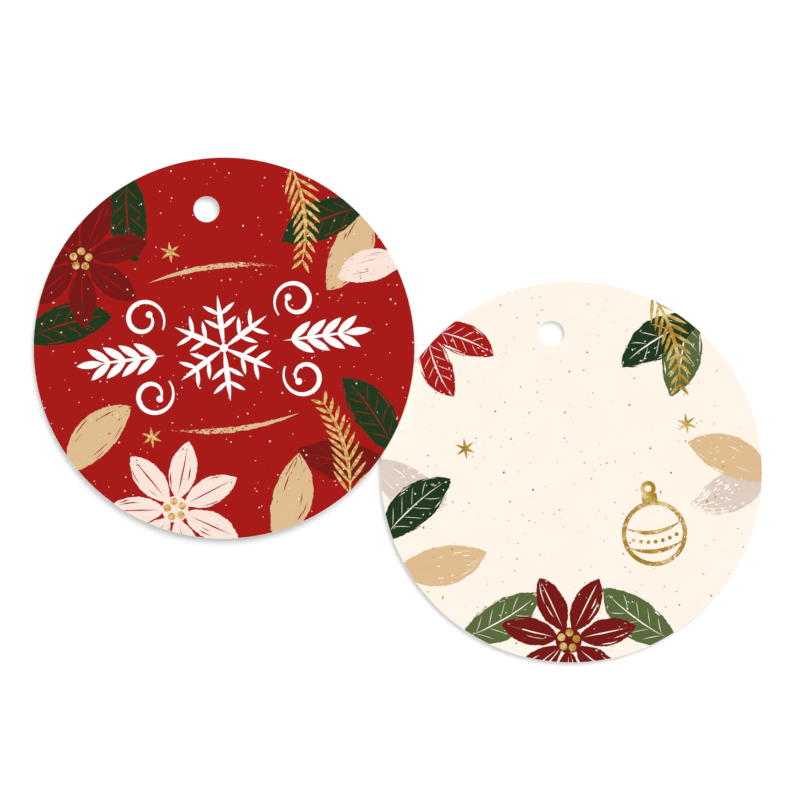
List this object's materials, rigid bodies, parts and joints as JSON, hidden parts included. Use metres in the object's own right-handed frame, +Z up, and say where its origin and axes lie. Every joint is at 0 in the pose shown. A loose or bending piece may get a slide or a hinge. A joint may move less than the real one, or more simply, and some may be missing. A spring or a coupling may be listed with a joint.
{
  "type": "gift tag",
  "caption": "Round double-sided gift tags of laminated card with a punched hole, one lying over the rim of the other, printed with leaves, flowers and gold foil.",
  "frame": {"origin": "on the table under the middle of the pair's bounding box", "axes": "+Z up from the table, +X along the pair from the upper tag towards the lower tag, +Y towards the holes"},
  "size_m": [0.1146, 0.0795, 0.0017],
  "materials": {
    "white_board": "uncoated white board, matt",
    "white_paper": "coated white paper, matt",
    "clear_glue": "dried white glue",
    "red_ink": "matt offset ink on paper",
    "cream_ink": "matt offset ink on paper",
    "tan_ink": "matt offset ink on paper",
    "green_ink": "matt offset ink on paper",
    "olive_ink": "matt offset ink on paper",
    "burgundy_ink": "matt offset ink on paper",
    "blush_ink": "matt offset ink on paper",
    "greige_ink": "matt offset ink on paper",
    "white_ink": "matt offset ink on paper",
    "gold_foil": "gold hot-stamping foil, satin"
  },
  "bodies": {
    "lower_tag": {"lower_tag_core_board": "white_board", "lower_tag_red_side_glue": "clear_glue", "lower_tag_red_side_paper": "white_paper", "lower_tag_red_side_red_ground": "red_ink", "lower_tag_red_side_tan_print": "tan_ink", "lower_tag_red_side_green_print": "green_ink", "lower_tag_red_side_burgundy_print": "burgundy_ink", "lower_tag_red_side_blush_print": "blush_ink", "lower_tag_red_side_white_ornament": "white_ink", "lower_tag_red_side_gold_foil": "gold_foil", "lower_tag_cream_side_glue": "clear_glue", "lower_tag_cream_side_paper": "white_paper", "lower_tag_cream_side_cream_ground": "cream_ink", "lower_tag_cream_side_greige_print": "greige_ink", "lower_tag_cream_side_tan_print": "tan_ink", "lower_tag_cream_side_olive_print": "olive_ink", "lower_tag_cream_side_green_print": "green_ink", "lower_tag_cream_side_burgundy_print": "burgundy_ink", "lower_tag_cream_side_red_print": "red_ink", "lower_tag_cream_side_gold_foil": "gold_foil"},
    "upper_tag": {"upper_tag_core_board": "white_board", "upper_tag_red_side_glue": "clear_glue", "upper_tag_red_side_paper": "white_paper", "upper_tag_red_side_red_ground": "red_ink", "upper_tag_red_side_tan_print": "tan_ink", "upper_tag_red_side_green_print": "green_ink", "upper_tag_red_side_burgundy_print": "burgundy_ink", "upper_tag_red_side_blush_print": "blush_ink", "upper_tag_red_side_white_ornament": "white_ink", "upper_tag_red_side_gold_foil": "gold_foil", "upper_tag_cream_side_glue": "clear_glue", "upper_tag_cream_side_paper": "white_paper", "upper_tag_cream_side_cream_ground": "cream_ink", "upper_tag_cream_side_greige_print": "greige_ink", "upper_tag_cream_side_tan_print": "tan_ink", "upper_tag_cream_side_olive_print": "olive_ink", "upper_tag_cream_side_green_print": "green_ink", "upper_tag_cream_side_burgundy_print": "burgundy_ink", "upper_tag_cream_side_red_print": "red_ink", "upper_tag_cream_side_gold_foil": "gold_foil"}
  },
  "joints": [
    {"name": "upper_tag_lift", "type": "slide", "parent": "lower_tag", "child": "upper_tag", "axis": [0, 0, 1], "range_m": [0, 0.06]}
  ]
}
